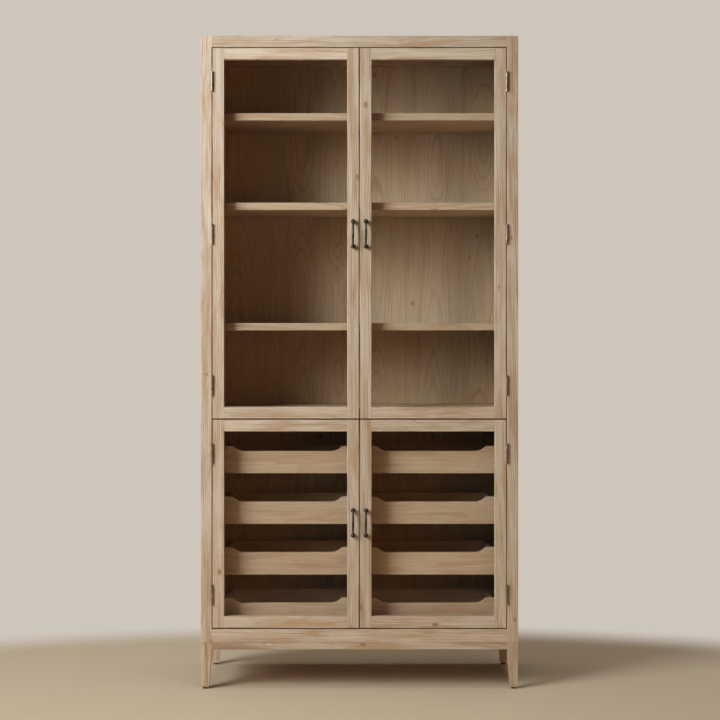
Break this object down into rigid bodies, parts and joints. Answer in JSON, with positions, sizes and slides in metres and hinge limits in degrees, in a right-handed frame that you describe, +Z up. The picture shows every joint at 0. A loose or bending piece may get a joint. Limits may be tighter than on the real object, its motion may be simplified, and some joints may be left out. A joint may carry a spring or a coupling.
{
  "type": "pantry cabinet",
  "caption": "Tall pine pantry cabinet with glazed double doors above and below, fixed and lift-out shelves, pull-out trays and short tapered legs.",
  "frame": {"origin": "on the floor, at the middle of the cabinet's width and of its depth with the pulls counted", "axes": "+Z up; the doors face -Y; +X to the right of someone facing the doors"},
  "size_m": [1.016, 0.434, 2.092],
  "materials": {
    "pine": "oiled light pine with knots and streaky grain, matt",
    "glass": "clear 4 mm float glass",
    "bronze": "dark bronzed steel, satin",
    "steel": "zinc-plated steel",
    "glide": "dark brown nylon"
  },
  "bodies": {
    "cabinet": {"posts": "pine", "side_rails": "pine", "side_panels": "pine", "front_rails": "pine", "divider_rail": "pine", "catch_magnets": "steel", "back_rails": "pine", "back_boards": "pine", "top_panel": "pine", "middle_deck": "pine", "bottom_panel": "pine", "centre_partition": "pine", "shelf_lower": "pine", "shelf_middle": "pine", "shelf_upper": "pine", "shelf_pins": "steel", "base_legs": "pine", "base_aprons": "pine", "leg_glides": "glide", "cabinet_hinge_leaves": "bronze", "hinge_pins": "bronze", "runner_battens": "pine", "runner_channels": "steel", "cabinet_screws": "steel"},
    "upper_left_door": {"upper_left_door_frame": "pine", "upper_left_door_glass": "glass", "upper_left_door_beads": "pine", "upper_left_door_pull": "bronze", "upper_left_door_hinges": "bronze"},
    "lower_left_door": {"lower_left_door_frame": "pine", "lower_left_door_glass": "glass", "lower_left_door_beads": "pine", "lower_left_door_pull": "bronze", "lower_left_door_hinges": "bronze"},
    "left_tray_1": {"left_tray_1_boards": "pine", "left_tray_1_runners": "steel"},
    "left_tray_2": {"left_tray_2_boards": "pine", "left_tray_2_runners": "steel"},
    "left_tray_3": {"left_tray_3_boards": "pine", "left_tray_3_runners": "steel"},
    "left_tray_4": {"left_tray_4_boards": "pine", "left_tray_4_runners": "steel"},
    "upper_right_door": {"upper_right_door_frame": "pine", "upper_right_door_glass": "glass", "upper_right_door_beads": "pine", "upper_right_door_pull": "bronze", "upper_right_door_hinges": "bronze"},
    "lower_right_door": {"lower_right_door_frame": "pine", "lower_right_door_glass": "glass", "lower_right_door_beads": "pine", "lower_right_door_pull": "bronze", "lower_right_door_hinges": "bronze"},
    "right_tray_1": {"right_tray_1_boards": "pine", "right_tray_1_runners": "steel"},
    "right_tray_2": {"right_tray_2_boards": "pine", "right_tray_2_runners": "steel"},
    "right_tray_3": {"right_tray_3_boards": "pine", "right_tray_3_runners": "steel"},
    "right_tray_4": {"right_tray_4_boards": "pine", "right_tray_4_runners": "steel"}
  },
  "joints": [
    {"name": "upper_left_door_hinge", "type": "hinge", "parent": "cabinet", "child": "upper_left_door", "pos_m": [-0.47175, -0.1927, 1.4595], "axis": [0, 0, -1], "range_deg": [0, 170]},
    {"name": "lower_left_door_hinge", "type": "hinge", "parent": "cabinet", "child": "lower_left_door", "pos_m": [-0.47175, -0.1927, 0.52875], "axis": [0, 0, -1], "range_deg": [0, 170]},
    {"name": "left_tray_1_slide", "type": "slide", "parent": "cabinet", "child": "left_tray_1", "axis": [0, -1, 0], "range_m": [0, 0.19]},
    {"name": "left_tray_2_slide", "type": "slide", "parent": "cabinet", "child": "left_tray_2", "axis": [0, -1, 0], "range_m": [0, 0.19]},
    {"name": "left_tray_3_slide", "type": "slide", "parent": "cabinet", "child": "left_tray_3", "axis": [0, -1, 0], "range_m": [0, 0.19]},
    {"name": "left_tray_4_slide", "type": "slide", "parent": "cabinet", "child": "left_tray_4", "axis": [0, -1, 0], "range_m": [0, 0.19]},
    {"name": "upper_right_door_hinge", "type": "hinge", "parent": "cabinet", "child": "upper_right_door", "pos_m": [0.47175, -0.1927, 1.4595], "axis": [0, 0, 1], "range_deg": [0, 170]},
    {"name": "lower_right_door_hinge", "type": "hinge", "parent": "cabinet", "child": "lower_right_door", "pos_m": [0.47175, -0.1927, 0.52875], "axis": [0, 0, 1], "range_deg": [0, 170]},
    {"name": "right_tray_1_slide", "type": "slide", "parent": "cabinet", "child": "right_tray_1", "axis": [0, -1, 0], "range_m": [0, 0.19]},
    {"name": "right_tray_2_slide", "type": "slide", "parent": "cabinet", "child": "right_tray_2", "axis": [0, -1, 0], "range_m": [0, 0.19]},
    {"name": "right_tray_3_slide", "type": "slide", "parent": "cabinet", "child": "right_tray_3", "axis": [0, -1, 0], "range_m": [0, 0.19]},
    {"name": "right_tray_4_slide", "type": "slide", "parent": "cabinet", "child": "right_tray_4", "axis": [0, -1, 0], "range_m": [0, 0.19]}
  ],
  "couplings": [
    {"joint": "left_tray_1_slide", "follows": "lower_left_door_hinge", "m_per_rad": 0.06235},
    {"joint": "left_tray_2_slide", "follows": "lower_left_door_hinge", "m_per_rad": 0.06235},
    {"joint": "left_tray_3_slide", "follows": "lower_left_door_hinge", "m_per_rad": 0.06235},
    {"joint": "left_tray_4_slide", "follows": "lower_left_door_hinge", "m_per_rad": 0.06235},
    {"joint": "right_tray_1_slide", "follows": "lower_right_door_hinge", "m_per_rad": 0.06235},
    {"joint": "right_tray_2_slide", "follows": "lower_right_door_hinge", "m_per_rad": 0.06235},
    {"joint": "right_tray_3_slide", "follows": "lower_right_door_hinge", "m_per_rad": 0.06235},
    {"joint": "right_tray_4_slide", "follows": "lower_right_door_hinge", "m_per_rad": 0.06235}
  ]
}
